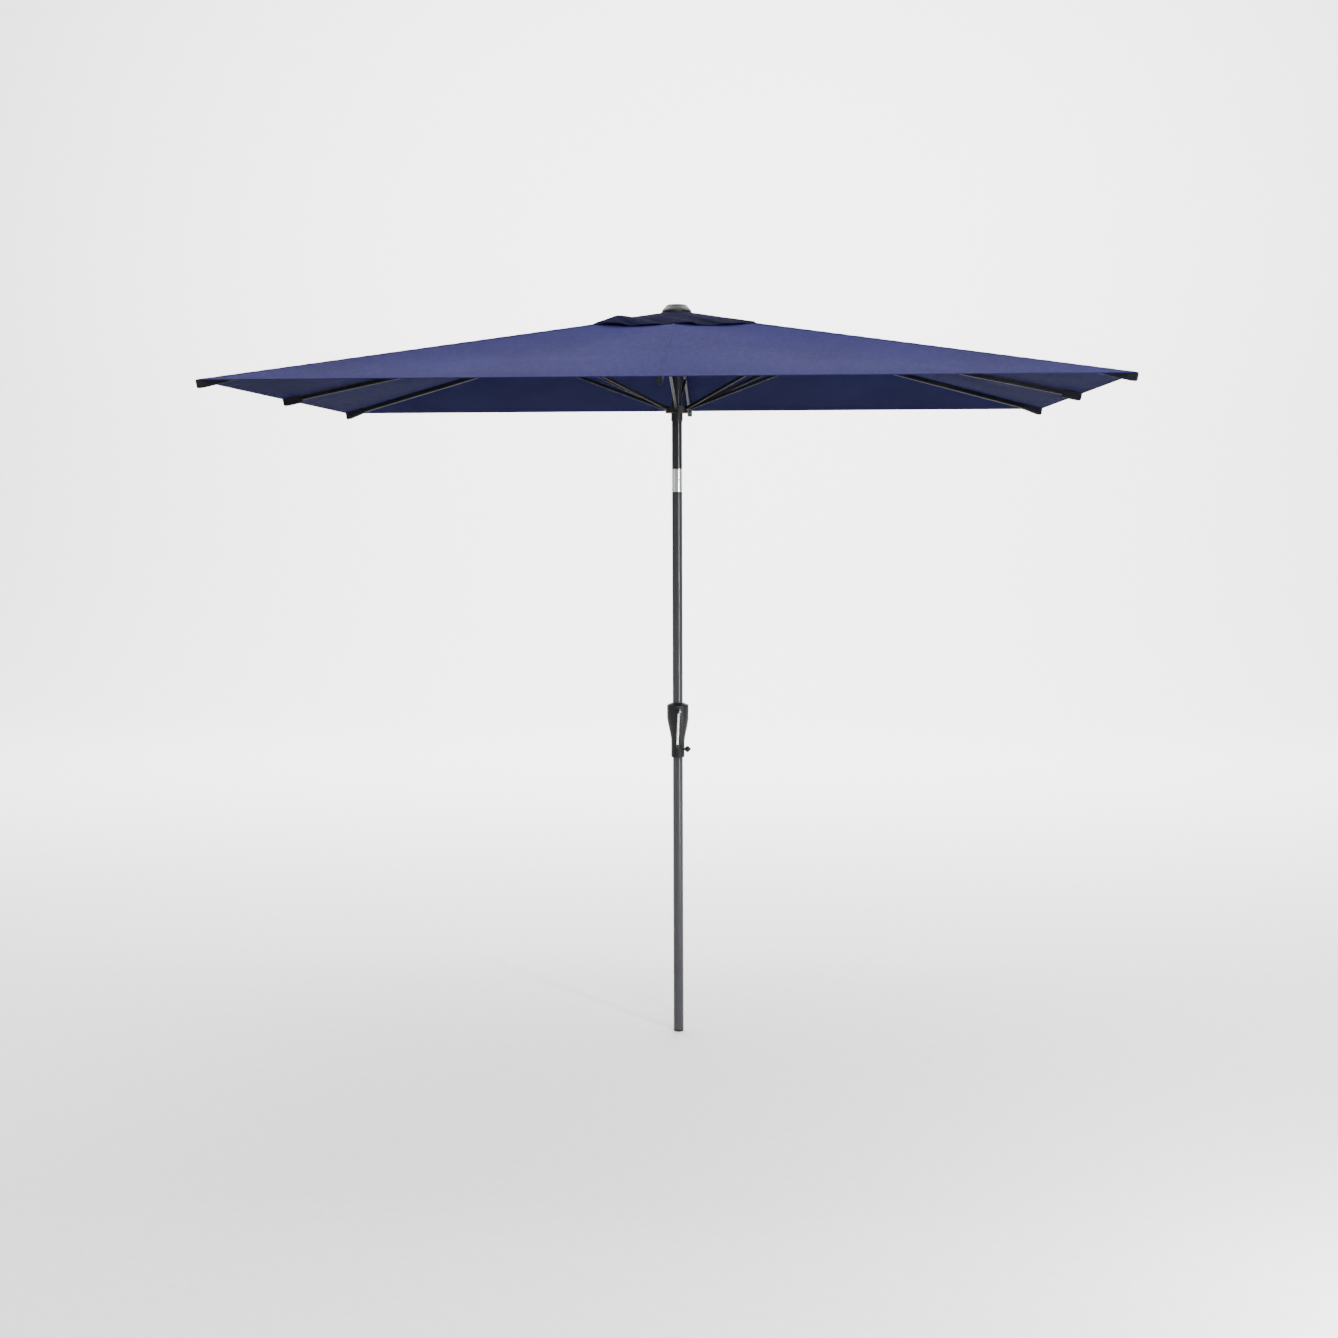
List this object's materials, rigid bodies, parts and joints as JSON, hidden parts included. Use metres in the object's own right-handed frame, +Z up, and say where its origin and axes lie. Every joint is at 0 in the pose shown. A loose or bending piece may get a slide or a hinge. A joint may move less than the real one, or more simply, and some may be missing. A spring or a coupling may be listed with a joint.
{
  "type": "market umbrella",
  "caption": "Rectangular patio umbrella top: crank-lifted folding ribs and struts, push-button tilt joint, vented pyramid canopy and a plain pole foot that drops into a separate base.",
  "frame": {"origin": "centre of the pole's flat foot", "axes": "+Z up along the pole, +X along the canopy's long side, -Y towards the crank side"},
  "size_m": [2.9, 1.9364, 2.68],
  "materials": {
    "pole": "satin charcoal powder coat",
    "frame": "satin dark charcoal powder coat on steel tube",
    "chrome": "polished chrome plate",
    "handle": "bright plated rod",
    "steel": "zinc-plated steel",
    "housing": "black moulded ABS, satin",
    "gloss_black": "black moulded plastic, slightly shiny",
    "canopy_fabric": "navy plain-weave polyester",
    "pocket_fabric": "near-black webbing",
    "cord": "white braided polyester cord"
  },
  "bodies": {
    "lower_mast": {"foot_plug": "housing", "lower_pole": "pole", "middle_pole": "pole", "crank_housing_front": "housing", "crank_housing_rear": "housing", "lower_pole_screw": "steel", "middle_pole_screw": "steel", "brake_spring": "steel", "tilt_lower_knuckle": "chrome", "tilt_pin": "steel", "button_spring": "steel", "lift_cord_lower": "cord"},
    "crank": {"cord_spool": "housing", "crank_shaft": "steel", "crank_arm": "handle"},
    "knob_arm": {"knob_stem": "steel"},
    "knob": {"knob_grip": "gloss_black"},
    "button": {"tilt_button": "housing"},
    "upper_mast": {"tilt_upper_knuckle": "chrome", "upper_pole": "pole", "top_hub": "housing", "hub_ring": "steel", "pulley_pin": "steel", "lift_cord_upper": "cord", "lift_cord_run": "cord", "finial_seat": "housing", "finial": "gloss_black", "canopy": "canopy_fabric", "vent_flap": "canopy_fabric"},
    "pulley": {"lift_pulley": "housing"},
    "runner": {"runner": "housing"},
    "rib_right": {"rib_right": "frame", "tip_pocket_right": "pocket_fabric"},
    "strut_right": {"strut_right": "frame"},
    "rib_back_right": {"rib_back_right": "frame", "tip_pocket_back_right": "pocket_fabric"},
    "strut_back_right": {"strut_back_right": "frame"},
    "rib_back": {"rib_back": "frame", "tip_pocket_back": "pocket_fabric"},
    "strut_back": {"strut_back": "frame"},
    "rib_back_left": {"rib_back_left": "frame", "tip_pocket_back_left": "pocket_fabric"},
    "strut_back_left": {"strut_back_left": "frame"},
    "rib_left": {"rib_left": "frame", "tip_pocket_left": "pocket_fabric"},
    "strut_left": {"strut_left": "frame"},
    "rib_front_left": {"rib_front_left": "frame", "tip_pocket_front_left": "pocket_fabric"},
    "strut_front_left": {"strut_front_left": "frame"},
    "rib_front": {"rib_front": "frame", "tip_pocket_front": "pocket_fabric"},
    "strut_front": {"strut_front": "frame"},
    "rib_front_right": {"rib_front_right": "frame", "tip_pocket_front_right": "pocket_fabric"},
    "strut_front_right": {"strut_front_right": "frame"}
  },
  "joints": [
    {"name": "tilt", "type": "hinge", "parent": "lower_mast", "child": "upper_mast", "pos_m": [0, 0, 2.036], "axis": [1, 0, 0], "range_deg": [-35, 0]},
    {"name": "tilt_button_press", "type": "slide", "parent": "lower_mast", "child": "button", "axis": [1, 0, 0], "range_m": [0, 0.002], "stiffness_N_per_m": 900, "springref_m": -0.002},
    {"name": "crank_spin", "type": "hinge", "parent": "lower_mast", "child": "crank", "pos_m": [0, 0, 1.208], "axis": [0.2079, -0.9781, 0], "range_deg": [-4500, 4500]},
    {"name": "knob_fold", "type": "hinge", "parent": "crank", "child": "knob_arm", "pos_m": [0.02262, -0.04631, 1.07], "axis": [0, 0, -1], "range_deg": [0, 90]},
    {"name": "knob_spin", "type": "hinge", "parent": "knob_arm", "child": "knob", "pos_m": [0.02262, -0.04631, 1.07], "axis": [0.9781, 0.2079, 0], "continuous": true},
    {"name": "pulley_spin", "type": "hinge", "parent": "upper_mast", "child": "pulley", "pos_m": [0.00336, 0.00631, 2.578], "axis": [-0.8829, 0.4695, 0], "range_deg": [-3600, 3600]},
    {"name": "runner_slide", "type": "slide", "parent": "upper_mast", "child": "runner", "axis": [0, 0, -1], "range_m": [0, 0.79], "deforming": ["lift_cord_run"]},
    {"name": "rib_right_fold", "type": "hinge", "parent": "upper_mast", "child": "rib_right", "pos_m": [0.046, 0, 2.628], "axis": [0, 1, 0], "range_deg": [0, 76.92]},
    {"name": "strut_right_fold", "type": "hinge", "parent": "rib_right", "child": "strut_right", "pos_m": [0.57032, 0, 2.50699], "axis": [0, 1, 0], "range_deg": [-144.6, 0]},
    {"name": "rib_back_right_fold", "type": "hinge", "parent": "upper_mast", "child": "rib_back_right", "pos_m": [0.03828, 0.02551, 2.628], "axis": [-0.5546, 0.8321, 0], "range_deg": [0, 78.83]},
    {"name": "strut_back_right_fold", "type": "hinge", "parent": "rib_back_right", "child": "strut_back_right", "pos_m": [0.47317, 0.31539, 2.52707], "axis": [-0.5546, 0.8321, 0], "range_deg": [-144.46, 0]},
    {"name": "rib_back_fold", "type": "hinge", "parent": "upper_mast", "child": "rib_back", "pos_m": [0, 0.046, 2.628], "axis": [-1, 0, 0], "range_deg": [0, 71.42]},
    {"name": "strut_back_fold", "type": "hinge", "parent": "rib_back", "child": "strut_back", "pos_m": [0, 0.57119, 2.44755], "axis": [-1, 0, 0], "range_deg": [-145.27, 0]},
    {"name": "rib_back_left_fold", "type": "hinge", "parent": "upper_mast", "child": "rib_back_left", "pos_m": [-0.03828, 0.02551, 2.628], "axis": [-0.5546, -0.8321, 0], "range_deg": [0, 78.83]},
    {"name": "strut_back_left_fold", "type": "hinge", "parent": "rib_back_left", "child": "strut_back_left", "pos_m": [-0.47317, 0.31539, 2.52707], "axis": [-0.5546, -0.8321, 0], "range_deg": [-144.46, 0]},
    {"name": "rib_left_fold", "type": "hinge", "parent": "upper_mast", "child": "rib_left", "pos_m": [-0.046, 0, 2.628], "axis": [0, -1, 0], "range_deg": [0, 76.92]},
    {"name": "strut_left_fold", "type": "hinge", "parent": "rib_left", "child": "strut_left", "pos_m": [-0.57032, 0, 2.50699], "axis": [0, -1, 0], "range_deg": [-144.6, 0]},
    {"name": "rib_front_left_fold", "type": "hinge", "parent": "upper_mast", "child": "rib_front_left", "pos_m": [-0.03828, -0.02551, 2.628], "axis": [0.5546, -0.8321, 0], "range_deg": [0, 78.33], "deforming": ["canopy", "vent_flap"]},
    {"name": "strut_front_left_fold", "type": "hinge", "parent": "rib_front_left", "child": "strut_front_left", "pos_m": [-0.47317, -0.31539, 2.52707], "axis": [0.5546, -0.8321, 0], "range_deg": [-144.46, 0]},
    {"name": "rib_front_fold", "type": "hinge", "parent": "upper_mast", "child": "rib_front", "pos_m": [0, -0.046, 2.628], "axis": [1, 0, 0], "range_deg": [0, 71.42]},
    {"name": "strut_front_fold", "type": "hinge", "parent": "rib_front", "child": "strut_front", "pos_m": [0, -0.57119, 2.44755], "axis": [1, 0, 0], "range_deg": [-145.27, 0]},
    {"name": "rib_front_right_fold", "type": "hinge", "parent": "upper_mast", "child": "rib_front_right", "pos_m": [0.03828, -0.02551, 2.628], "axis": [0.5546, 0.8321, 0], "range_deg": [0, 78.83]},
    {"name": "strut_front_right_fold", "type": "hinge", "parent": "rib_front_right", "child": "strut_front_right", "pos_m": [0.47317, -0.31539, 2.52707], "axis": [0.5546, 0.8321, 0], "range_deg": [-144.46, 0]}
  ],
  "couplings": [
    {"joint": "strut_right_fold", "follows": "rib_front_left_fold", "ratio": -1.8398},
    {"joint": "rib_right_fold", "follows": "rib_front_left_fold", "ratio": 0.9757},
    {"joint": "strut_back_right_fold", "follows": "rib_front_left_fold", "ratio": -1.8379},
    {"joint": "rib_back_right_fold", "follows": "rib_front_left_fold", "ratio": 1},
    {"joint": "strut_back_fold", "follows": "rib_front_left_fold", "ratio": -1.8483},
    {"joint": "rib_back_fold", "follows": "rib_front_left_fold", "ratio": 0.9054},
    {"joint": "strut_back_left_fold", "follows": "rib_front_left_fold", "ratio": -1.8379},
    {"joint": "rib_back_left_fold", "follows": "rib_front_left_fold", "ratio": 1},
    {"joint": "strut_left_fold", "follows": "rib_front_left_fold", "ratio": -1.8398},
    {"joint": "rib_left_fold", "follows": "rib_front_left_fold", "ratio": 0.9757},
    {"joint": "strut_front_left_fold", "follows": "rib_front_left_fold", "ratio": -1.8379},
    {"joint": "strut_front_fold", "follows": "rib_front_left_fold", "ratio": -1.8483},
    {"joint": "rib_front_fold", "follows": "rib_front_left_fold", "ratio": 0.9054},
    {"joint": "strut_front_right_fold", "follows": "rib_front_left_fold", "ratio": -1.8379},
    {"joint": "rib_front_right_fold", "follows": "rib_front_left_fold", "ratio": 1},
    {"joint": "runner_slide", "follows": "rib_front_left_fold", "m_per_rad": 0.57568},
    {"joint": "crank_spin", "follows": "rib_front_left_fold", "ratio": 55.153},
    {"joint": "pulley_spin", "follows": "rib_front_left_fold", "ratio": 37.999}
  ]
}
